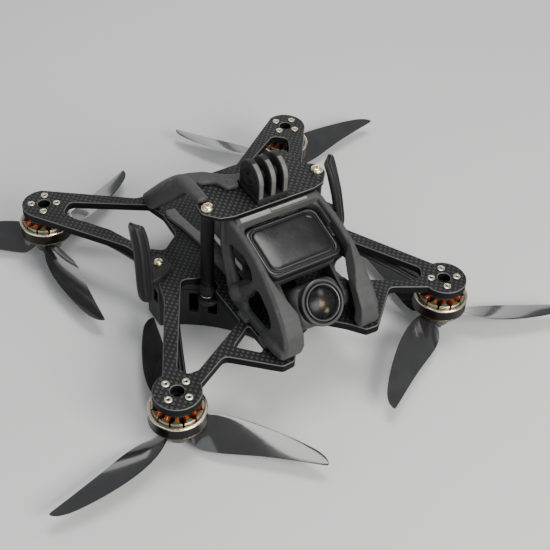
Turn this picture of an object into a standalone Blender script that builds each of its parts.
# Five-inch pusher quadcopter: carbon X frame, motors and propellers under the
# arms, tilting camera in a printed cage, electronics pod in the belly.
# Frame: +Z up, nose towards -Y, the drone's left towards +X.
# Drawn in millimetres from the centre of the four motor axes in the top face of
# the main plate, then lifted by BASE_Z so that the pod's flat underside, which
# the drone stands on, lies at z = 0. Meshes are written in metres.
import math

import bmesh
import bpy
from mathutils import Vector
from mathutils.geometry import tessellate_polygon

# ---------------------------------------------------------- shared dimensions
MM = 0.001
GAP = 0.3                     # clearance between neighbouring pieces
MOTOR_X = 69.1                # half the side-to-side motor spacing
MOTOR_Y = 68.3                # half the front-to-back motor spacing
PLATE_T = 4.0                 # main plate thickness
UNDER_PLATE = -PLATE_T - GAP  # top of the parts hung below the main plate
TOP_Z0, TOP_Z1 = 41.0, 43.0   # top plate
ON_TOP_PLATE = TOP_Z1 + GAP   # underside of the parts set on the top plate
BOLT_R = 6.0                  # motor bolt circle radius (12 mm pattern)
STANDOFF_X, STANDOFF_Y, STANDOFF_R = 27.6, -18.9, 3.1
STANDOFF_BOTTOM = -7.4
ANTENNA_SCREW_X, ANTENNA_SCREW_Y, ANTENNA_HOLE_R = 42.2, 0.2, 1.3
STACK_HALF = 10.0             # half the pitch of the four electronics screws
POD_Z0, POD_Z1 = -30.5, UNDER_PLATE
BASE_Z = -POD_Z0              # height of the main plate's top face above ground
RAIL_TOP = 2.3                # upper face of the battery rails

SIDES = [("right", -1), ("left", 1)]
STACK = [(side * STACK_HALF, end * STACK_HALF) for side in (-1, 1) for end in (-1, 1)]

# name, side (sign of x), end (sign of y), angle of the first bolt, angle of the
# first propeller blade; angles in degrees
MOTORS = [
    ("front_right", -1, -1, 25.0, -168.05),
    ("front_left", 1, -1, 65.0, -144.4),
    ("rear_right", -1, 1, 65.0, -89.9),
    ("rear_left", 1, 1, 25.0, 6.0),
]

for old in list(bpy.data.objects):
    bpy.data.objects.remove(old, do_unlink=True)

COLLECTION = bpy.context.scene.collection


# ------------------------------------------------------------------- materials
def material(name, rgb, roughness, metallic=0.0):
    mat = bpy.data.materials.new(name)
    mat.use_nodes = True
    shader = mat.node_tree.nodes["Principled BSDF"]
    shader.inputs["Base Color"].default_value = (*rgb, 1.0)
    shader.inputs["Roughness"].default_value = roughness
    shader.inputs["Metallic"].default_value = metallic
    mat.diffuse_color = (*rgb, 1.0)
    return mat


CARBON = material("carbon_twill", rgb=(0.045, 0.046, 0.05), roughness=0.42)
GREY = material("printed_grey", rgb=(0.13, 0.13, 0.135), roughness=0.62)
BLACK = material("printed_black", rgb=(0.018, 0.018, 0.019), roughness=0.6)
ANODISED = material("black_anodised", rgb=(0.02, 0.02, 0.022), roughness=0.35, metallic=0.8)
GOLD = material("gold_steel", rgb=(0.72, 0.58, 0.33), roughness=0.25, metallic=1.0)
BRONZE = material("bronze_bell", rgb=(0.09, 0.07, 0.05), roughness=0.3, metallic=0.9)
COPPER = material("copper_winding", rgb=(0.6, 0.2, 0.07), roughness=0.35, metallic=0.9)
SMOKY = material("smoky_propeller", rgb=(0.16, 0.16, 0.165), roughness=0.2)
GLOSS = material("gloss_cover", rgb=(0.03, 0.03, 0.032), roughness=0.15)
CAMERA_SHELL = material("camera_shell", rgb=(0.06, 0.06, 0.062), roughness=0.45)
GLASS = material("lens_glass", rgb=(0.02, 0.025, 0.03), roughness=0.03)
BOARD = material("circuit_board", rgb=(0.02, 0.05, 0.035), roughness=0.5)
WIRE = material("wire_sleeve", rgb=(0.03, 0.03, 0.03), roughness=0.5)
YELLOW = material("lead_plug", rgb=(0.75, 0.55, 0.08), roughness=0.45)
PALE = material("pale_shell", rgb=(0.72, 0.72, 0.71), roughness=0.45)
STEEL = material("steel", rgb=(0.5, 0.5, 0.5), roughness=0.3, metallic=1.0)


# -------------------------------------------------------------------- outlines
def polar(x, y, radius, degrees):
    """The point at an angle on a circle about (x, y)."""
    angle = math.radians(degrees)
    return (x + radius * math.cos(angle), y + radius * math.sin(angle))


def arc(x, y, radius, start, end, steps):
    """Points on an arc between two angles in degrees, both ends included."""
    return [polar(x, y, radius, start + (end - start) * i / steps) for i in range(steps + 1)]


def circle(x, y, radius, segments):
    return arc(x, y, radius, 0.0, 360.0 * (segments - 1) / segments, segments - 1)


def rectangle(x0, x1, y0, y1):
    return [(x0, y0), (x1, y0), (x1, y1), (x0, y1)]


def round_corners(corners, radius=None, steps=2):
    """Round the corners of a closed polygon. Corners are (x, y, radius), or
    (x, y) when one radius serves them all. Nearly straight corners stay."""
    out = []
    for i, corner in enumerate(corners):
        tip = Vector(corner[:2])
        wanted = corner[2] if radius is None else radius
        if wanted <= 0:
            out.append(tuple(tip))
            continue
        back = Vector(corners[i - 1][:2]) - tip
        ahead = Vector(corners[(i + 1) % len(corners)][:2]) - tip
        back_length, ahead_length = back.length, ahead.length
        back.normalize()
        ahead.normalize()
        half = back.angle(ahead) / 2.0
        if half > 1.53:
            out.append(tuple(tip))
            continue
        # a rounding takes less than half of either edge
        setback = min(wanted / math.tan(half), back_length * 0.48, ahead_length * 0.48)
        r = setback * math.tan(half)
        centre = tip + (back + ahead).normalized() * (r / math.sin(half))
        first = tip + back * setback - centre
        last = tip + ahead * setback - centre
        start = math.atan2(first.y, first.x)
        turn = math.atan2(last.y, last.x) - start
        while turn > math.pi:
            turn -= 2 * math.pi
        while turn < -math.pi:
            turn += 2 * math.pi
        for k in range(steps + 1):
            angle = start + turn * k / steps
            out.append((centre.x + r * math.cos(angle), centre.y + r * math.sin(angle)))
    return out


def rounded_rectangle(x0, x1, y0, y1, radius, steps=2):
    return round_corners(rectangle(x0, x1, y0, y1), radius, steps)


def mirrored(outline):
    return [(-x, y) for x, y in reversed(outline)]


def both_sides(half):
    """Close a left half outline with its mirror image."""
    return half + [(-x, y) for x, y in reversed(half) if x > 0.001]


# ---------------------------------------------------------------------- bodies
# Each of these draws one closed body into the bmesh given first.
def prism(bm, outline, start, end, holes=(), place=lambda u, v, w: (u, v, w)):
    """Extrude an outline with holes between two levels. place turns a point of
    the outline and a level into x, y, z; as it stands the body runs along z."""
    loops = [list(outline)] + [list(hole) for hole in holes]
    points = [p for loop in loops for p in loop]
    triangles = tessellate_polygon([[Vector((p[0], p[1], 0.0)) for p in loop] for loop in loops])
    low = [bm.verts.new(place(p[0], p[1], start)) for p in points]
    high = [bm.verts.new(place(p[0], p[1], end)) for p in points]
    for triangle in triangles:
        bm.faces.new([low[i] for i in triangle])
        bm.faces.new([high[i] for i in reversed(triangle)])
    base = 0
    for loop in loops:
        count = len(loop)
        for i in range(count):
            j = (i + 1) % count
            bm.faces.new((low[base + i], low[base + j], high[base + j], high[base + i]))
        base += count


def prism_x(bm, outline, start, end, holes=()):
    """Outline drawn in (y, z), extruded along x."""
    prism(bm, outline, start, end, holes, lambda u, v, w: (w, u, v))


def prism_y(bm, outline, start, end, holes=()):
    """Outline drawn in (x, z), extruded along y."""
    prism(bm, outline, start, end, holes, lambda u, v, w: (u, w, v))


def box(bm, x0, x1, y0, y1, z0, z1):
    prism(bm, rectangle(x0, x1, y0, y1), z0, z1)


def loft(bm, rings):
    """Skin between rings of equal length and close both ends."""
    rings = [[bm.verts.new(p) for p in ring] for ring in rings]
    count = len(rings[0])
    for near, far in zip(rings, rings[1:]):
        for i in range(count):
            j = (i + 1) % count
            bm.faces.new((near[i], near[j], far[j], far[i]))
    bm.faces.new(list(reversed(rings[0])))
    bm.faces.new(rings[-1])


def lathe(bm, profile, segments, cx=0.0, cy=0.0):
    """Turn a profile of (radius, z) about a vertical axis. A profile that
    starts on the axis is closed by it; any other joins end to start."""
    rings = []
    for radius, z in profile:
        if radius < 1e-6:
            rings.append([bm.verts.new((cx, cy, z))])
            continue
        angles = [2 * math.pi * i / segments for i in range(segments)]
        rings.append([bm.verts.new((cx + radius * math.cos(a), cy + radius * math.sin(a), z))
                      for a in angles])
    count = len(rings)
    joins_up = profile[0][0] > 1e-6
    for k in range(count if joins_up else count - 1):
        near, far = rings[k], rings[(k + 1) % count]
        if len(near) == 1 and len(far) == 1:
            continue
        for i in range(segments):
            j = (i + 1) % segments
            if len(near) == 1:
                bm.faces.new((near[0], far[j], far[i]))
            elif len(far) == 1:
                bm.faces.new((near[i], near[j], far[0]))
            else:
                bm.faces.new((near[i], near[j], far[j], far[i]))


def lathe_in_frame(bm, profile, segments, centre, across, up, axis):
    """Turn a profile about any axis; across, up and axis are unit vectors that
    take the place of x, y and z."""
    lathe(bm, profile, segments)
    for v in bm.verts:
        x, y, z = v.co
        v.co = centre + across * x + up * y + axis * z


def superellipse(half_width, half_height, segments, power):
    out = []
    for i in range(segments):
        angle = 2 * math.pi * i / segments
        c, s = math.cos(angle), math.sin(angle)
        out.append((half_width * math.copysign(abs(c) ** (2.0 / power), c),
                    half_height * math.copysign(abs(s) ** (2.0 / power), s)))
    return out


def sweep(bm, stations, segments=8, power=2.0, up=(0, 0, 1)):
    """Sweep a superellipse through stations of (x, y, z, half width, half
    height); up fixes the height direction."""
    path = [Vector(station[:3]) for station in stations]
    rings = []
    for i, point in enumerate(path):
        ahead = (path[min(i + 1, len(path) - 1)] - path[max(i - 1, 0)]).normalized()
        height = Vector(up)
        height = (height - ahead * height.dot(ahead)).normalized()
        width = ahead.cross(height)
        section = superellipse(*stations[i][3:], segments, power)
        rings.append([point + width * a + height * b for a, b in section])
    loft(bm, rings)


def screw(bm, x, y, seat_z, head_r, head_h, shank_r, length):
    """Button-head socket screw, head up on seat_z, with a blind socket."""
    top = seat_z + head_h
    lathe(bm, [(0, top - head_h * 0.55), (head_r * 0.42, top - head_h * 0.55),
               (head_r * 0.42, top), (head_r * 0.68, top - head_h * 0.05),
               (head_r, top - head_h * 0.7), (head_r, seat_z),
               (shank_r, seat_z), (shank_r, seat_z - length), (0, seat_z - length)], 10, x, y)


# --------------------------------------------------------------------- objects
def finish(name, bm, mat, origin=(0.0, 0.0, 0.0), sharp_angle=35.0):
    """Turn a bmesh drawn in millimetres into a named object in metres."""
    bmesh.ops.remove_doubles(bm, verts=bm.verts, dist=0.0005)
    bmesh.ops.recalc_face_normals(bm, faces=bm.faces)
    origin = Vector(origin)
    for v in bm.verts:
        v.co = (v.co - origin) * MM
    mesh = bpy.data.meshes.new(name)
    bm.to_mesh(mesh)
    bm.free()
    mesh.materials.append(mat)
    ob = bpy.data.objects.new(name, mesh)
    ob.location = (origin + Vector((0.0, 0.0, BASE_Z))) * MM
    COLLECTION.objects.link(ob)
    mesh.shade_smooth()
    mesh.set_sharp_from_angle(angle=math.radians(sharp_angle))


def make(name, mat, draw, *args, **options):
    """Build a piece from one body, drawn by draw(bmesh, *args)."""
    bm = bmesh.new()
    draw(bm, *args)
    finish(name, bm, mat, **options)


def temporary_object(draw, *args):
    bm = bmesh.new()
    draw(bm, *args)
    bmesh.ops.recalc_face_normals(bm, faces=bm.faces)
    bmesh.ops.triangulate(bm, faces=bm.faces)
    mesh = bpy.data.meshes.new("tmp")
    bm.to_mesh(mesh)
    bm.free()
    ob = bpy.data.objects.new("tmp", mesh)
    COLLECTION.objects.link(ob)
    return ob


ADD, CUT = 'UNION', 'DIFFERENCE'


def join(parts):
    """Combine bodies with exact Booleans into one bmesh. Parts are (operation,
    draw, *args); the first is the body that the others add to or cut."""
    base = temporary_object(*parts[0][1:])
    for operation, draw, *args in parts[1:]:
        tool = temporary_object(draw, *args)
        modifier = base.modifiers.new("b", 'BOOLEAN')
        modifier.operation = operation
        modifier.solver = 'EXACT'
        modifier.object = tool
        bpy.context.view_layer.update()
        depsgraph = bpy.context.evaluated_depsgraph_get()
        result = bpy.data.meshes.new_from_object(base.evaluated_get(depsgraph))
        base.modifiers.clear()
        old_mesh = base.data
        base.data = result
        bpy.data.meshes.remove(old_mesh)
        bpy.data.objects.remove(tool, do_unlink=True)
    bm = bmesh.new()
    bm.from_mesh(base.data)
    bpy.data.objects.remove(base, do_unlink=True)
    bmesh.ops.remove_doubles(bm, verts=bm.verts, dist=0.004)
    bmesh.ops.dissolve_degenerate(bm, edges=bm.edges, dist=0.004)
    bmesh.ops.dissolve_limit(bm, angle_limit=math.radians(0.6), verts=bm.verts, edges=bm.edges)
    bmesh.ops.triangulate(bm, faces=bm.faces)
    return bm


def make_joined(name, mat, parts, **options):
    finish(name, join(parts), mat, **options)


# ---------------------------------------------------------------------- plates
PAD_R = 10.4              # motor pad radius
PLATE_SCREW_HOLE_R = 1.65

# Left half of the main plate's edge, nose to tail, as (x, y, corner radius).
# The motor pads' arcs lie between the three runs.
PLATE_NOSE = [
    (0.0, -61.5, 0), (6.5, -64.6, 6), (13.0, -71.0, 6), (18.6, -78.0, 2.0),
    (24.5, -78.4, 2.5), (28.3, -75.0, 3), (43.1, -61.2, 3.5), (58.8, -69.6, 0),
]
PLATE_SIDE = [
    (70.7, -57.7, 0), (49.5, -19.2, 12), (46.3, -7.5, 3), (46.3, 8.0, 6),
    (47.3, 20.0, 12), (77.8, 61.5, 0),
]
PLATE_TAIL = [(66.0, 78.2, 0), (28.5, 51.0, 5), (22.0, 50.2, 0), (0.0, 50.2, 0)]

# Openings in the left half of the main plate: (x, y, corner radius).
REAR_SLOT = [
    (60.3, 50.6, 6), (63.9, 57.6, 3.2), (58.0, 63.3, 3.2), (25.6, 43.2, 2), (22.9, 32.9, 8),
    (23.7, 18.2, 4), (34.0, 10.2, 3), (39.8, 14.8, 3), (45.0, 25.0, 8), (49.5, 35.7, 8),
]
FRONT_SLOT = [
    (37.5, -12.3, 2.5), (63.4, -57.4, 3.0), (60.8, -62.3, 2.5), (55.9, -62.5, 2.5),
    (26.9, -46.4, 2.0), (26.9, -25.0, 0), (23.9, -23.0, 2.0), (23.9, -14.6, 1.5),
    (29.0, -14.2, 0), (35.0, -11.8, 2),
]
NOSE_HOLE = [(25.0, -50.6, 1.0), (25.0, -64.0, 1.0), (28.4, -67.0, 1.0), (36.9, -58.2, 1.2)]

# Left half of the top plate: (x, y, corner radius).
TOP_HALF = [
    (0, -28.5, 0), (20.0, -28.5, 6), (26.0, -26.9, 4), (31.4, -20.6, 3.5), (30.6, -14.6, 2.5),
    (25.0, -10.0, 3), (24.0, -4.0, 3), (24.0, 2.4, 2), (0, 2.4, 0),
]


def bolt_centres(side, end, first_angle):
    return [polar(side * MOTOR_X, end * MOTOR_Y, BOLT_R, first_angle + 90 * k) for k in range(4)]


def main_plate():
    half = round_corners(PLATE_NOSE)[:-1]
    half += arc(MOTOR_X, -MOTOR_Y, PAD_R, -172.0, 82.0, 9)
    half += round_corners(PLATE_SIDE)[1:-1]
    half += arc(MOTOR_X, MOTOR_Y, PAD_R, -38.0, 108.0, 6)
    half += round_corners(PLATE_TAIL)[1:-1]

    holes = []
    for corners in (REAR_SLOT, FRONT_SLOT, NOSE_HOLE):
        slot = round_corners(corners)
        holes += [slot, mirrored(slot)]
    for _, side, end, bolt_angle, _ in MOTORS:
        holes.append(circle(side * MOTOR_X, end * MOTOR_Y, 3.0, 10))
        holes += [circle(x, y, 1.45, 6) for x, y in bolt_centres(side, end, bolt_angle)]
    holes += [circle(x, y, PLATE_SCREW_HOLE_R, 8) for x, y in STACK]
    holes += [circle(side * ANTENNA_SCREW_X, ANTENNA_SCREW_Y, ANTENNA_HOLE_R, 8)
              for _, side in SIDES]
    # opening for the camera ribbon
    holes.append(rounded_rectangle(-8, 8, -40, -30, 2.5))
    make("main_plate", CARBON, prism, both_sides(half), -PLATE_T, 0.0, holes)


def top_plate():
    outline = both_sides(round_corners(TOP_HALF, steps=3)[:-1])
    holes = [circle(side * STANDOFF_X, STANDOFF_Y, PLATE_SCREW_HOLE_R, 8) for _, side in SIDES]
    make("top_plate", CARBON, prism, outline, TOP_Z0, TOP_Z1, holes)


# ----------------------------------------------------------------- camera cage
CAGE_TOP = 40.7
CAGE_SPREAD = 2.0         # how far each side leans out from the top to z = 0
CAGE_SIDE_X = 19.0        # where the side's own thickness is measured from

# Side frame: (y, z, corner radius).
CAGE_OUTLINE = [
    (-22.0, 40.7, 0), (-31.5, 40.7, 3), (-42.0, 38.6, 6), (-50.0, 36.1, 6), (-56.5, 33.0, 6),
    (-64.5, 26.9, 6), (-72.3, 19.8, 6), (-76.8, 13.6, 4), (-78.2, 8.0, 4), (-77.6, 3.6, 3),
    (-74.6, 0.3, 2), (-35.5, 0.3, 2), (-32.2, 2.6, 3), (-24.6, 18.5, 6), (-20.6, 31.0, 4),
]
# Openings of the side frame: (y, z).
CAGE_UPPER_OPENING = [
    (-28.6, 29.6), (-41.4, 31.2), (-47.6, 27.8), (-48.8, 24.2), (-42.6, 15.0),
    (-38.4, 12.6), (-35.6, 13.2), (-29.6, 22.0),
]
CAGE_LOWER_OPENING = [
    (-52.0, 21.4), (-55.6, 21.8), (-62.2, 17.6), (-65.8, 13.2), (-64.5, 8.4),
    (-59.5, 5.2), (-46.4, 5.2), (-44.4, 7.4), (-46.2, 12.6),
]
# Section of the broad front face: (y, z), down the front and up the back.
CAGE_FACE = [
    (-55.5, 33.9), (-64.8, 27.4), (-72.7, 20.2), (-77.2, 13.8), (-78.6, 8.0), (-78.0, 3.5),
    (-76.4, 0.9), (-71.0, 0.9), (-72.4, 4.4), (-73.0, 8.6), (-71.4, 12.6), (-68.4, 17.0),
    (-61.6, 23.4), (-57.8, 26.2),
]
# Section of the cross beam at the top: (y, z).
CAGE_BEAM = [
    (-23.0, 40.7), (-28.9, 40.7), (-29.2, 41.9), (-30.8, 41.9), (-31.8, 41.1),
    (-32.2, 38.4), (-31.9, 37.4), (-30.6, 37.0), (-23.0, 37.9),
]
# Foot and round boss of the right side: (x, y, z, half width, half height).
CAGE_FOOT = [
    (-22.6, -61.0, 3.3, 1.6, 2.0), (-22.9, -66.0, 4.1, 3.4, 3.2),
    (-22.9, -72.0, 4.5, 3.5, 3.5), (-22.6, -76.2, 4.3, 2.4, 3.0),
]
CAGE_BOSS = [
    (-16.4, -38.8, 9.2, 3.5, 3.5), (-17.2, -38.8, 9.2, 4.3, 4.3),
    (-25.2, -38.8, 9.2, 4.3, 4.3), (-26.0, -38.8, 9.2, 3.3, 3.3),
]


def cage_lean(z):
    return CAGE_SPREAD * (CAGE_TOP - z) / CAGE_TOP


def cage_side(bm):
    """Right side frame, leaning outwards to its foot."""
    openings = [round_corners(CAGE_UPPER_OPENING, 2.0), round_corners(CAGE_LOWER_OPENING, 2.2)]
    prism_x(bm, round_corners(CAGE_OUTLINE), 0.4, 3.6, openings)
    for v in bm.verts:
        v.co.x = -(CAGE_SIDE_X + v.co.x + cage_lean(v.co.z))


def cage_face(bm):
    """Broad front face of the right leg, below the camera cover."""
    prism_x(bm, CAGE_FACE, 14.6, 21.4)
    for v in bm.verts:
        x, _, z = v.co
        inner = x < 16
        if inner:
            # the face narrows towards the top, beside the cover
            x += 6.0 * max(0.0, min(1.0, (z - 22.5) / 9.0))
        if z < 5:
            x += 1.2 if inner else 0.6
        if x > 20:
            x += cage_lean(z)
        v.co.x = -x


def copy_body(bm, points, faces, mirror):
    """Draw a joined body again, or its mirror image across the centre plane."""
    verts = [bm.verts.new((-x if mirror else x, y, z)) for x, y, z in points]
    for face in faces:
        bm.faces.new([verts[i] for i in (reversed(face) if mirror else face)])


def camera_cage():
    half = join([
        (ADD, cage_side),
        (ADD, cage_face),
        (ADD, sweep, CAGE_FOOT, 8, 2.4),
        (ADD, sweep, CAGE_BOSS, 14),
        # two clips along the foot
        (ADD, box, -26.4, -23.2, -50.0, -43.0, 0.5, 3.0),
        (ADD, box, -26.4, -23.2, -67.0, -60.5, 0.5, 3.0),
    ])
    half.verts.index_update()
    points = [tuple(v.co) for v in half.verts]
    faces = [[v.index for v in face.verts] for face in half.faces]
    half.free()
    make_joined("camera_cage", GREY, [
        (ADD, prism_x, CAGE_BEAM, -20.4, 20.4),
        (ADD, copy_body, points, faces, False),
        (ADD, copy_body, points, faces, True),
    ])


# ------------------------------------------------------------------ rear brace
# Strap and tongue on the top plate: (x, y, corner radius).
BRACE_DECK = [
    (-24.6, -0.8, 2), (-23.4, -4.2, 2.5), (-17.2, -6.2, 2.5), (-14.7, -12.8, 2),
    (-8.4, -13.6, 1), (-8.4, -10.3, 0.5), (5.0, -10.3, 0.5), (8.6, -9.4, 1.2),
    (8.0, -6.6, 1.2), (-4.5, -6.4, 5), (-10.9, -3.7, 5), (-17.5, 2.3, 6),
    (-24.0, 4.8, 3), (-30.6, 5.8, 2), (-31.4, -2.0, 2), (-27.0, -6.0, 2),
]
# Leg and shoulder boss: (x, y, z, half width, half height).
BRACE_LEG = [
    (-27.3, -14.6, 44.7, 2.1, 1.2), (-27.5, -9.0, 44.4, 2.9, 1.8), (-27.8, -3.0, 43.9, 3.2, 2.5),
    (-27.9, 3.2, 41.0, 3.5, 4.4), (-27.4, 10.0, 34.6, 3.5, 5.2), (-26.2, 22.0, 23.2, 3.4, 5.2),
    (-24.8, 34.0, 11.4, 3.2, 5.0), (-24.1, 40.0, 5.6, 3.1, 4.8), (-23.6, 46.4, -0.8, 3.0, 4.6),
]
BRACE_BOSS = [
    (-29.6, 5.4, 40.6, 1.8, 1.8), (-31.6, 9.2, 37.6, 2.2, 2.2), (-31.8, 12.4, 34.8, 1.4, 1.4),
]
# Left half of the room left for the top plate: (x, y, corner radius).
BRACE_RELIEF = [
    (0, -30.0, 0), (20.0, -30.0, 6), (27.0, -28.0, 4), (32.0, -21.0, 3.5), (31.2, -14.2, 2.5),
    (25.4, -9.6, 3), (24.4, -4.0, 3), (24.4, 2.8, 2), (0, 2.8, 0),
]


def rear_brace():
    """Printed brace on the right: a deep leg from the tail of the main plate up
    to a shoulder, a strap forward towards the top screw and a tongue across the
    top plate, behind the action-camera mount."""
    relief = both_sides(round_corners(BRACE_RELIEF, steps=3)[:-1])
    make_joined("rear_brace", GREY, [
        (ADD, prism, round_corners(BRACE_DECK), ON_TOP_PLATE, 45.3),
        (ADD, sweep, BRACE_LEG, 12, 2.8, (0, 0.2, 1)),
        (ADD, sweep, BRACE_BOSS),
        # the brace clears the top plate and the main plate by a hair
        (CUT, prism, relief, 39.0, ON_TOP_PLATE),
        (CUT, box, -36.0, -12.0, 20.0, 60.0, -12.0, GAP),
    ])


# ------------------------------------------------------- rails and action mount
# Left battery rail: (x, y, corner radius).
RAIL = [
    (17.4, 32.6, 1), (15.2, 9.4, 4), (13.3, 5.6, 3), (13.3, -20.0, 2), (14.4, -26.0, 1.5),
    (18.4, -26.0, 1.5), (18.4, -4.0, 6), (19.2, 10.0, 6), (21.4, 30.4, 1.2), (20.6, 32.8, 1.2),
]


def battery_rail(name, side):
    outline = [(side * x, y) for x, y in round_corners(RAIL)]
    make("battery_rail_" + name, GREY, prism, outline, GAP, RAIL_TOP)


MOUNT_Y, MOUNT_Z = -19.0, 52.2    # cross bore of the mount
FIN_R = 7.9
FIN_PITCH = 6.1
FIN_HALF_T = 1.5
FIN_BOTTOM = 44.0


def action_mount():
    """Three rounded fins with a cross bore on a narrow foot."""
    fin = [(MOUNT_Y - FIN_R, FIN_BOTTOM)]
    fin += arc(MOUNT_Y, MOUNT_Z, FIN_R, 180, 0, 9)
    fin += [(MOUNT_Y + FIN_R, FIN_BOTTOM)]
    bore = circle(MOUNT_Y, MOUNT_Z, 2.6, 12)
    foot = rounded_rectangle(-7.9, 7.9, -27.3, -10.7, 0.8)
    parts = [(ADD, prism, foot, ON_TOP_PLATE, 45.6)]
    for x in (-FIN_PITCH, 0.0, FIN_PITCH):
        parts.append((ADD, prism_x, fin, x - FIN_HALF_T, x + FIN_HALF_T, [bore]))
    make_joined("action_camera_mount", BLACK, parts)


# -------------------------------------------------------------------- hardware
def standoff(name, side):
    """Post with a stud at the bottom of a thin neck below the top plate."""
    top = TOP_Z0 - GAP
    collar_r = STANDOFF_R + 0.3
    profile = [
        (0, TOP_Z0 - 8.0), (1.55, TOP_Z0 - 8.0), (1.55, top), (STANDOFF_R - 0.3, top),
        (STANDOFF_R, TOP_Z0 - 0.8), (STANDOFF_R, 0.6), (collar_r, 0.2), (collar_r, -6.6),
        (STANDOFF_R, STANDOFF_BOTTOM), (0, STANDOFF_BOTTOM),
    ]
    make("standoff_" + name, ANODISED, lathe, profile, 14, side * STANDOFF_X, STANDOFF_Y)


def top_screw(name, side):
    head_r, head_h, shank_r, length = 2.8, 2.1, 1.3, 4.0
    make("top_screw_" + name, GOLD, screw, side * STANDOFF_X, STANDOFF_Y, ON_TOP_PLATE,
         head_r, head_h, shank_r, length)


# -------------------------------------------------------------------- antennas
ANTENNA_TURN = math.radians(36.0)     # turn of the blade's wide side
BLADE_HALF_T = 1.3
CLIP_TOP = 3.2                        # upper face of the screwed tab

# Centre line of the left blade: (z, x, y).
ANTENNA_PATH = [
    (-8.0, 52.7, -8.8), (0.0, 52.4, -6.7), (10.0, 51.7, -4.3),
    (17.0, 51.1, -1.8), (22.5, 50.8, 0.9), (28.5, 50.6, 4.9),
]
# Blade sections: (z, half width, rib height, slope of the section outwards).
ANTENNA_BLADE = [
    (-7.6, 2.4, 0.05, 0.0), (-5.0, 3.6, 0.4, 0.0), (0.0, 3.8, 0.5, 0.0), (10.0, 3.8, 0.5, 0.0),
    (17.0, 3.8, 0.5, 0.0), (22.5, 3.7, 0.5, 0.1), (26.2, 3.5, 0.3, 0.3),
]
# Screwed tab on the left: (x, y).
ANTENNA_TAB = [
    (37.6, -4.6), (45.6, -8.4), (50.6, -9.4), (53.0, -5.2), (49.0, 3.0), (44.5, 6.4), (38.2, 5.0),
]


def antenna_ring(side, z, outline, slope=0.0):
    """Section of the bowed blade at height z. The blade's outer edge is turned
    to the rear. outline is (across, forward)."""
    for (z0, x0, y0), (z1, x1, y1) in zip(ANTENNA_PATH, ANTENNA_PATH[1:]):
        if z <= z1:
            break
    share = (z - z0) / (z1 - z0)
    cx, cy = x0 + (x1 - x0) * share, y0 + (y1 - y0) * share
    c, s = math.cos(ANTENNA_TURN), math.sin(ANTENNA_TURN)
    return [Vector((side * (cx + across * c + forward * s),
                    cy + across * s - forward * c, z + slope * across))
            for across, forward in outline]


def ribbed_outline(w, rib):
    """Flat blade section of half width w, with a rib down its front face."""
    t = BLADE_HALF_T
    return [(-w, -t), (w, -t), (w, t), (0.9, t), (0.5, t + rib), (-0.5, t + rib),
            (-0.9, t), (-w, t)]


def flat_rings(side, half_width, half_thickness, heights):
    outline = rectangle(-half_width, half_width, -half_thickness, half_thickness)
    return [antenna_ring(side, z, outline) for z in heights]


def antenna_set(name, side):
    """Printed holder on the side lobe of the plate, with a slot down the middle
    of its blade in which the flat antenna element sits, and its screw."""
    blade = [antenna_ring(side, z, ribbed_outline(w, rib), slope)
             for z, w, rib, slope in ANTENNA_BLADE]
    slot = flat_rings(side, 2.3, 0.55, (-3.0, 0.0, 10.0, 17.0, 22.5, 30.0))
    tab = round_corners([(side * x, y) for x, y in ANTENNA_TAB], 1.6)
    screw_x = side * ANTENNA_SCREW_X
    hole = circle(screw_x, ANTENNA_SCREW_Y, ANTENNA_HOLE_R, 8)
    make_joined("antenna_clip_" + name, BLACK, [
        (ADD, loft, blade),
        (ADD, prism, tab, GAP, CLIP_TOP, [hole]),
        (CUT, loft, slot),
    ])

    element = flat_rings(side, 2.0, 0.25, (-2.7, 0.0, 10.0, 17.0, 22.5, 26.8))
    make("antenna_" + name, YELLOW, loft, element)

    head_r, head_h, shank_r, length = 2.25, 1.7, 1.0, 6.0
    make("antenna_screw_" + name, GOLD, screw, screw_x, ANTENNA_SCREW_Y, CLIP_TOP + GAP,
         head_r, head_h, shank_r, length)


# ---------------------------------------------------------------------- motors
BELL_R = 12.55            # motor bell outer radius
TOOTH_COUNT = 12
BELL_WINDOWS = 5

# Turned profiles: (radius, z).
MOTOR_FLANGE = [
    (1.9, UNDER_PLATE), (9.3, UNDER_PLATE), (9.3, -5.8), (8.4, -6.6), (3.9, -6.6),
    (3.9, -15.8), (1.9, -15.8),
]
MOTOR_STUD = [
    (0, 1.75), (1.2, 1.65), (1.95, 0.95), (1.95, 0.3), (1.0, 0.3), (1.0, -5.2), (0, -5.2),
]
MOTOR_BELL = [
    (11.45, -9.75), (BELL_R, -9.9), (BELL_R, -16.3), (11.2, -17.9), (2.5, -18.6), (2.5, -30.1),
    (0, -30.1), (0, -8.0), (1.5, -8.0), (1.5, -16.4), (11.45, -16.2),
]
# One stator tooth: (angle from its middle in degrees, radius).
TOOTH = [(-12.4, 10.95), (0.0, 11.0), (12.4, 10.95), (14.0, 6.9), (16.0, 6.9)]
# One window in the bell's floor: (radius, angle from its middle in degrees).
BELL_WINDOW = [(4.8, -27), (9.3, -25), (9.3, 25), (4.8, 27)]


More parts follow.
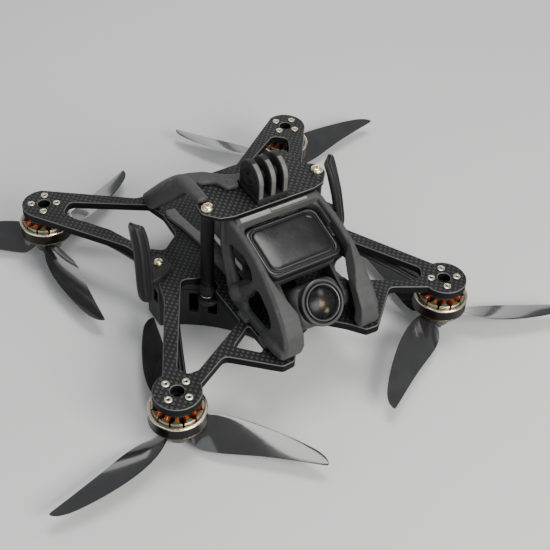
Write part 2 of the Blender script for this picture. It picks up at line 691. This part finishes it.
def motor(name, side, end, bolt_angle):
    mx, my = side * MOTOR_X, end * MOTOR_Y
    origin = (mx, my, 0)

    # base: flange under the pad, bearing tube down through the stator, and its
    # four screws standing up through the pad
    parts = [(ADD, lathe, MOTOR_FLANGE, 14, mx, my)]
    parts += [(ADD, lathe, MOTOR_STUD, 6, x, y) for x, y in bolt_centres(side, end, bolt_angle)]
    make_joined("motor_base_" + name, ANODISED, parts, origin=origin)

    # stator: wound teeth round the bearing tube
    teeth = [polar(mx, my, radius, 360.0 * i / TOOTH_COUNT + angle)
             for i in range(TOOTH_COUNT) for angle, radius in TOOTH]
    make("motor_stator_" + name, COPPER, prism, teeth, -15.2, -8.2,
         [circle(mx, my, 4.3, 12)], origin=origin)

    # bell with its shaft: open rim up, spoked floor below
    parts = [(ADD, lathe, MOTOR_BELL, 18, mx, my)]
    for k in range(BELL_WINDOWS):
        middle = 360.0 / BELL_WINDOWS * k
        window = [polar(mx, my, radius, middle + angle) for radius, angle in BELL_WINDOW]
        parts.append((CUT, prism, window, -20.0, -15.0))
    make_joined("motor_bell_" + name, BRONZE, parts, origin=origin)


# Leads of the left motors, from the motor base to the pod: (x, y, z).
FRONT_LEADS = [
    (62.0, -58.8, -6.6), (57.5, -47.5, -5.9), (53.5, -38.0, -5.9),
    (47.5, -24.0, -5.9), (43.9, -14.0, -5.9), (43.0, -9.0, -6.4),
]
REAR_LEADS = [
    (63.4, 57.6, -6.6), (59.0, 49.5, -5.9), (54.5, 40.5, -5.9),
    (48.6, 27.5, -5.9), (44.4, 16.0, -5.9), (43.0, 9.0, -6.4),
]
LEADS_HALF_W, LEADS_HALF_H = 2.5, 1.05


def motor_leads(name, side, end):
    """Three phase wires in one sleeve under the arm."""
    path = FRONT_LEADS if end < 0 else REAR_LEADS
    stations = [(side * x, y, z, LEADS_HALF_W, LEADS_HALF_H) for x, y, z in path]
    make("motor_leads_" + name, WIRE, sweep, stations, 8, 2.6)


# ------------------------------------------------------------------ propellers
PROP_R = 65.2             # propeller tip radius
PROP_Z = -22.5            # propeller mid plane
PROP_BORE_R = 2.85
PROP_PITCH = 66.0         # advance per turn
PITCH_TRIM = 0.92         # share of the pitch slope that the blade follows
PITCH_MIN_R = 11.0        # the slope stays constant inside this radius
BLADE_COUNT = 3

# Blade plan: (radius, leading edge, trailing edge).
PROP_BLADE = [
    (4.8, 2.6, -2.6), (7.0, 3.4, -3.4), (12.0, 6.6, -5.4), (21.0, 9.3, -5.5), (33.0, 9.7, -3.8),
    (47.0, 8.2, -2.0), (59.0, 5.6, -0.8), (63.8, 2.9, -0.3), (PROP_R, 0.9, 0.0),
]
# Blade section: (share of the chord from the trailing edge, share of thickness).
PROP_SECTION = [(1.0, 0.0), (0.72, 0.5), (0.3, 0.45), (0.0, 0.0), (0.3, -0.35), (0.72, -0.35)]
PROP_HUB = [(PROP_BORE_R, -18.95), (6.5, -18.95), (6.5, -25.9), (PROP_BORE_R, -25.9)]
PROP_NUT = [
    (PROP_BORE_R, -26.2), (4.6, -26.2), (4.6, -27.2), (3.95, -27.4), (3.7, -29.7),
    (PROP_BORE_R, -29.7),
]


def blade_thickness(radius):
    return max(0.55, 2.4 - 0.045 * radius) if radius < 60 else 0.5


def propeller_blade(bm, mx, my, spin, degrees):
    angle = math.radians(degrees)
    centre = Vector((mx, my, PROP_Z))
    outward = Vector((math.cos(angle), math.sin(angle), 0))
    forward = Vector((-math.sin(angle), math.cos(angle), 0)) * spin
    rings = []
    for radius, leading, trailing in PROP_BLADE:
        slope = PITCH_TRIM * PROP_PITCH / (2 * math.pi * max(radius, PITCH_MIN_R))
        middle = (leading + trailing) * 0.5
        ring = []
        for share, height in PROP_SECTION:
            chord_at = trailing + share * (leading - trailing)
            rise = (chord_at - middle) * slope + height * blade_thickness(radius)
            ring.append(centre + outward * radius + forward * chord_at + Vector((0, 0, rise)))
        rings.append(ring)
    loft(bm, rings)


def propeller(name, side, end, blade_angle):
    mx, my = side * MOTOR_X, end * MOTOR_Y
    spin = side * end     # +1 turns anticlockwise seen from above
    parts = [(ADD, lathe, PROP_HUB, 12, mx, my)]
    for k in range(BLADE_COUNT):
        degrees = blade_angle + 360.0 / BLADE_COUNT * k
        parts.append((ADD, propeller_blade, mx, my, spin, degrees))
    make_joined("propeller_" + name, SMOKY, parts, origin=(mx, my, 0))
    make("prop_nut_" + name, ANODISED, lathe, PROP_NUT, 12, mx, my, origin=(mx, my, 0))


# ------------------------------------------------------------------- belly pod
POD_CLEAR_R = 66.8        # pod walls are arcs about the motor axes
POD_SIDE_X = 45.4         # flat on each side
POD_END_Y = 40.0          # short nose and tail
POD_WALL = 1.8
POD_FLOOR = 2.0
POD_WINDOW_XS = (31.4, 24.6)          # where the windows meet the wall
LUG_X, LUG_Y, LUG_R = 27.2, -19.4, 4.9
SEAT_Z = STANDOFF_BOTTOM - GAP        # floor of the standoff's seat

# Battery socket in the tail: shell half width and z range.
SOCKET_HALF_W = 7.6
SOCKET_Z0, SOCKET_Z1 = -17.6, -9.6


def pod_outline(inset=0.0):
    """Plan of the pod: four concave arcs that keep clear of the propellers,
    a flat on each side, a short nose and a tail."""
    radius = POD_CLEAR_R + inset
    side_angle = math.degrees(math.acos((POD_SIDE_X - inset - MOTOR_X) / radius))
    nose_angle = 180.0 - math.degrees(math.asin((inset - POD_END_Y + MOTOR_Y) / radius))
    front_left = arc(MOTOR_X, -MOTOR_Y, radius, nose_angle, side_angle, 10)
    rear_left = [(x, -y) for x, y in reversed(front_left)]
    rear_right = [(-x, -y) for x, y in front_left]
    front_right = mirrored(front_left)
    return front_left + rear_left + rear_right + front_right


def pod_window(bm, side, flip, x):
    """Cutter centred on the arc wall at x and square to it; flip is 1 for the
    front walls and -1 for the rear ones."""
    y = -MOTOR_Y + math.sqrt(POD_CLEAR_R ** 2 - (MOTOR_X - x) ** 2)
    outward = Vector((MOTOR_X - x, -MOTOR_Y - y)).normalized()
    along = Vector((-outward.y, outward.x))
    corners = [Vector((x, y)) + outward * a + along * b
               for a, b in rectangle(-5, 5, -2.2, 2.2)]
    prism(bm, [(side * p.x, flip * p.y) for p in corners], -21.3, -9.4)


def socket_outline(grow, radius):
    """The battery socket's outline in (x, z), grown all round."""
    half = SOCKET_HALF_W + grow
    return rounded_rectangle(-half, half, SOCKET_Z0 - grow, SOCKET_Z1 + grow, radius)


def belly_pod():
    lug = [(0, -13.6), (1.2, -13.6), (LUG_R, -9.8), (LUG_R, SEAT_Z), (0, SEAT_Z)]
    post = [(0, POD_Z0 + 1.5), (3.0, POD_Z0 + 1.5), (2.7, -24.4), (0, -24.4)]
    parts = [
        (ADD, prism, pod_outline(), POD_Z0, POD_Z1),
        (CUT, prism, pod_outline(POD_WALL), POD_Z0 + POD_FLOOR, POD_Z1 + 3.0),
    ]
    parts += [(ADD, lathe, lug, 10, side * LUG_X, LUG_Y) for _, side in SIDES]
    parts += [(CUT, prism, circle(side * STANDOFF_X, STANDOFF_Y, 3.85, 12), SEAT_Z, 0.0)
              for _, side in SIDES]
    parts += [(ADD, lathe, post, 10, x, y) for x, y in STACK]
    for _, side in SIDES:
        for flip in (1, -1):
            parts += [(CUT, pod_window, side, flip, x) for x in POD_WINDOW_XS]
        # port for the motor leads in the side wall
        parts.append((CUT, box, *sorted((side * 36, side * 50)), -4.2, 4.2, -17.0, -10.0))
    parts.append((CUT, prism_y, socket_outline(GAP, 1.7), 34.0, 44.0))
    make_joined("belly_pod", BLACK, parts)


# ----------------------------------------------------------------- electronics
# Chips on the boards: (x0, x1, y0, y1, height).
SPEED_CHIPS = [
    (-17, -11.4, -6.6, 6.6, 1.4), (11.4, 17, -6.6, 6.6, 1.4), (-6.8, 6.8, -17, -12, 1.4),
    (-6.8, 6.8, 12, 17, 1.4), (-5, 5, -4, 4, 1.2),
]
FLIGHT_CHIPS = [
    (-5, 5, -5, 5, 1.1), (-16.6, -12.6, -6, 6, 2.6), (12.6, 16.6, -6, 6, 2.6),
    (-5, 4, 13, 17.6, 2.2),
]
CHIP_SINK = 0.3           # how deep the chips reach into the board
# Button head on the plate, nut above the upper board, spacer between the
# boards; the tip stops just above the post in the pod's floor: (radius, z).
STACK_SCREW = [
    (0, 1.9), (1.7, 1.75), (2.5, 1.1), (2.5, 0.3), (1.35, 0.3), (1.35, -12.6), (2.7, -12.6),
    (2.7, -15.7), (1.35, -15.7), (1.35, -17.9), (2.7, -17.9), (2.7, -22.0), (1.35, -22.0),
    (1.35, -24.1), (0, -24.1),
]


def circuit_board(name, z0, z1, half, chips):
    slab = rounded_rectangle(-half, half, -half, half, 3.0)
    parts = [(ADD, prism, slab, z0, z1, [circle(x, y, 1.75, 8) for x, y in STACK])]
    for x0, x1, y0, y1, height in chips:
        parts.append((ADD, box, x0, x1, y0, y1, z1 - CHIP_SINK, z1 + height))
    make_joined(name, BOARD, parts)


def electronics():
    """Two boards on four screws, above the pod floor."""
    circuit_board("speed_controller", -23.9, -22.3, 18.2, SPEED_CHIPS)
    circuit_board("flight_controller", -17.6, -16.0, 17.6, FLIGHT_CHIPS)
    for i, (x, y) in enumerate(STACK):
        make("stack_screw_%d" % (i + 1), STEEL, lathe, STACK_SCREW, 7, x, y)


CHANNEL_COUNT = 7
CHANNEL_Y, CHANNEL_PITCH, CHANNEL_W = -25.6, 4.0, 2.0
BUTTON_Y, BUTTON_Z, BUTTON_HALF = 6.5, 12.0, 1.5


def video_unit():
    """Pale box on the rails between the cage and the brace, with cross channels
    in its top and a pocket for the button in its rear face."""
    body = rounded_rectangle(-14.0, 14.0, -29.0, 6.0, 2.0)
    parts = [(ADD, prism, body, RAIL_TOP + GAP, 21.0)]
    for k in range(CHANNEL_COUNT):
        y = CHANNEL_Y + CHANNEL_PITCH * k
        parts.append((CUT, box, -11.5, 11.5, y, y + CHANNEL_W, 18.6, 24.0))
    parts.append((CUT, box, -1.9, 1.9, 3.4, 8.0, 10.1, 13.9))
    make_joined("video_unit", PALE, parts)


def link_button():
    outline = rounded_rectangle(-BUTTON_HALF, BUTTON_HALF, BUTTON_Z - BUTTON_HALF,
                                BUTTON_Z + BUTTON_HALF, 0.6)
    make("link_button", STEEL, prism_y, outline, 3.9, BUTTON_Y, origin=(0, BUTTON_Y, BUTTON_Z))


# ----------------------------------------------------------------- power parts
X_AXIS, Y_AXIS, Z_AXIS = Vector((1, 0, 0)), Vector((0, 1, 0)), Vector((0, 0, 1))

# Capacitor: (radius, x along its axis).
CAPACITOR = [
    (0, -9.5), (4.2, -9.5), (4.6, -9.0), (4.6, 8.2), (4.2, 8.6), (4.2, 9.1), (4.6, 9.5), (0, 9.5),
]
CAPACITOR_CENTRE = Vector((0.0, 27.2, -22.6))
# Lead from the socket to the speed controller: (x, y, z, half width, half height).
BATTERY_LEAD = [
    (0.0, 29.6, -13.0, 3.6, 1.5), (0.0, 25.5, -13.4, 3.6, 1.5), (0.0, 22.6, -15.6, 3.6, 1.4),
    (0.0, 21.4, -19.0, 3.4, 1.2), (0.0, 18.4, -20.5, 3.0, 1.0),
]


def capacitor():
    """Smoothing capacitor lying across the tail of the pod."""
    make("capacitor", ANODISED, lathe_in_frame, CAPACITOR, 14, CAPACITOR_CENTRE,
         -Z_AXIS, Y_AXIS, X_AXIS)


def battery_socket():
    """Flanged socket in the tail of the pod, with two pins in its cavity."""
    parts = [
        (ADD, prism_y, socket_outline(0.0, 1.6), 30.0, 43.4),
        (ADD, prism_y, socket_outline(1.2, 1.8), 40.3, 41.9),
        (CUT, prism_y, socket_outline(-1.4, 1.0), 33.0, 45.0),
    ]
    pin_z = (SOCKET_Z0 + SOCKET_Z1) / 2
    for _, side in SIDES:
        parts.append((ADD, prism_y, circle(side * 3.3, pin_z, 1.6, 10), 32.0, 41.0))
    make_joined("battery_socket", YELLOW, parts)


def battery_lead():
    make("battery_lead", WIRE, sweep, BATTERY_LEAD, 10, 2.2, (0, 0.3, 1))


# ---------------------------------------------------------------------- camera
TILT_Y, TILT_Z = -61.4, 10.8              # tilt axis, which runs along x
TILT_CENTRE = Vector((0, TILT_Y, TILT_Z))
LENS_UP = math.radians(42.0)              # lens elevation at rest
LENS_AXIS = Vector((0, -math.cos(LENS_UP), math.sin(LENS_UP)))
LENS_VERTICAL = Vector((0, math.sin(LENS_UP), math.cos(LENS_UP)))
LENS_FRAME = (TILT_CENTRE, X_AXIS, LENS_VERTICAL, LENS_AXIS)

COVER_TOP_Y, COVER_TOP_Z = -31.0, 36.5    # upper edge of the cover
COVER_LOW_Y, COVER_LOW_Z = -56.7, 28.7    # lower edge of the cover
COVER_LENGTH = math.hypot(COVER_LOW_Y - COVER_TOP_Y, COVER_LOW_Z - COVER_TOP_Z)
COVER_DOWN = Vector((0, (COVER_LOW_Y - COVER_TOP_Y) / COVER_LENGTH,
                     (COVER_LOW_Z - COVER_TOP_Z) / COVER_LENGTH))
COVER_OUT = Vector((0, COVER_DOWN.z, -COVER_DOWN.y))

# Sections parallel to the cover: (half width, inset from the upper edge, inset
# from the lower edge, height out of the rim, corner radius).
COVER_SECTIONS = [
    (17.6, 0.9, 0.9, -4.0, 3.6), (18.3, 0.1, 0.1, -3.4, 4.2), (18.4, 0.0, 0.0, -0.9, 4.3),
    (17.9, 0.5, 0.5, -0.1, 4.0), (15.6, 2.9, 2.7, 0.3, 3.4), (14.6, 3.9, 3.7, 1.5, 3.2),
    (13.6, 4.9, 4.7, 1.7, 2.6),
]
HOUSING_SECTIONS = [
    (15.2, 1.6, 1.4, -11.0, 3.6), (17.2, 0.9, 0.9, -9.6, 3.8), (17.4, 0.6, 0.6, -4.3, 3.8),
]
# Sections of the head square to the lens: (half width, half height, distance
# forward of the tilt axis, corner radius).
HEAD_SECTIONS = [
    (9.4, 4.0, -8.6, 2.4), (11.4, 6.9, -6.4, 3.2), (12.1, 8.6, -3.0, 4.0),
    (12.1, 9.2, 2.0, 4.4), (11.6, 8.9, 5.2, 4.6), (10.2, 8.2, 6.8, 4.8),
]
EAR_R = 6.2
EAR_X0, EAR_X1 = 12.6, 14.2

# Turned profiles: (radius, distance along the axis from the tilt centre).
PIVOT_BOSS = [(0, 13.4), (3.6, 13.4), (3.6, 15.0), (3.0, 15.6), (0, 15.6)]
LENS_SEAT = [(0, 3.2), (7.3, 3.2), (7.3, 12.0), (0, 12.0)]
LENS_BARREL = [
    (0, 3.5), (7.0, 3.5), (7.0, 7.1), (9.2, 7.3), (9.7, 8.4), (9.7, 10.0), (9.2, 10.7),
    (8.2, 10.4), (7.5, 10.9), (6.9, 10.5), (6.4, 9.2), (6.2, 6.0), (0, 6.0),
]
LENS_GLASS = [(0, 6.3), (5.7, 6.3), (5.9, 7.4), (4.9, 8.4), (2.8, 9.2), (0, 9.5)]
TILT_MOTOR = [
    (0, 14.5), (6.0, 14.5), (6.0, 17.6), (5.4, 18.1), (2.4, 18.1), (2.4, 18.6), (0, 18.6),
]
# Ribbon from the back of the housing down through the plate: (x, y, z).
RIBBON_PATH = [
    (0, -37.2, 22.5), (0, -34.4, 17.0), (0, -33.6, 8.0), (0, -35.0, 0.0), (0, -33.6, -5.8),
]
RIBBON_HALF_W, RIBBON_HALF_T = 5.0, 0.45


def cover_ring(half_width, upper, lower, height, radius):
    outline = rounded_rectangle(-half_width, half_width, upper, COVER_LENGTH - lower, radius, 3)
    return [Vector((x, COVER_TOP_Y, COVER_TOP_Z)) + COVER_DOWN * down + COVER_OUT * height
            for x, down in outline]


def head_ring(half_width, half_height, forward, radius):
    outline = rounded_rectangle(-half_width, half_width, -half_height, half_height, radius, 3)
    return [TILT_CENTRE + X_AXIS * x + LENS_VERTICAL * z + LENS_AXIS * forward
            for x, z in outline]


def camera_cover():
    rings = [cover_ring(*row) for row in COVER_SECTIONS]
    make("camera_cover", GLOSS, loft, rings, sharp_angle=30)


def camera_housing():
    """Housing under the cover, with two ears that carry the tilting head and a
    pivot boss on the right ear."""
    ear = [(-47.0, 24.0), (-54.8, 21.6)]
    ear += arc(TILT_Y, TILT_Z, EAR_R, 100, 360, 13)
    ear += [(-47.0, 18.0)]
    parts = [(ADD, loft, [cover_ring(*row) for row in HOUSING_SECTIONS])]
    for _, side in SIDES:
        parts.append((ADD, prism_x, ear, *sorted((side * EAR_X0, side * EAR_X1))))
    parts.append((ADD, lathe_in_frame, PIVOT_BOSS, 16, TILT_CENTRE, Y_AXIS, Z_AXIS, -X_AXIS))
    make_joined("camera_housing", CAMERA_SHELL, parts)


def camera_head():
    """Tilting head: rounded box with a round back and a seat for the lens."""
    make_joined("camera_head", CAMERA_SHELL, [
        (ADD, loft, [head_ring(*row) for row in HEAD_SECTIONS]),
        (CUT, lathe_in_frame, LENS_SEAT, 20, *LENS_FRAME),
    ], origin=TILT_CENTRE)


def lens():
    """Flared barrel, with an open front bore for the glass."""
    make("lens_barrel", ANODISED, lathe_in_frame, LENS_BARREL, 22, *LENS_FRAME,
         origin=TILT_CENTRE)
    make("lens_glass", GLASS, lathe_in_frame, LENS_GLASS, 18, *LENS_FRAME, origin=TILT_CENTRE)


def tilt_motor():
    """Turned motor on the left ear."""
    make("tilt_motor", ANODISED, lathe_in_frame, TILT_MOTOR, 20, TILT_CENTRE,
         Y_AXIS, Z_AXIS, X_AXIS)


def camera_ribbon():
    stations = [(*point, RIBBON_HALF_W, RIBBON_HALF_T) for point in RIBBON_PATH]
    make("camera_ribbon", WIRE, sweep, stations, 8, 6.0, (0, 1, 0))


# ------------------------------------------------------------------- the drone
main_plate()
top_plate()
camera_cage()
rear_brace()
action_mount()
for side_name, side_sign in SIDES:
    battery_rail(side_name, side_sign)
    standoff(side_name, side_sign)
    top_screw(side_name, side_sign)
    antenna_set(side_name, side_sign)
for corner_name, x_sign, y_sign, first_bolt, first_blade in MOTORS:
    motor(corner_name, x_sign, y_sign, first_bolt)
    propeller(corner_name, x_sign, y_sign, first_blade)
    motor_leads(corner_name, x_sign, y_sign)
belly_pod()
electronics()
video_unit()
link_button()
capacitor()
battery_socket()
battery_lead()
camera_cover()
camera_housing()
camera_head()
lens()
tilt_motor()
camera_ribbon()
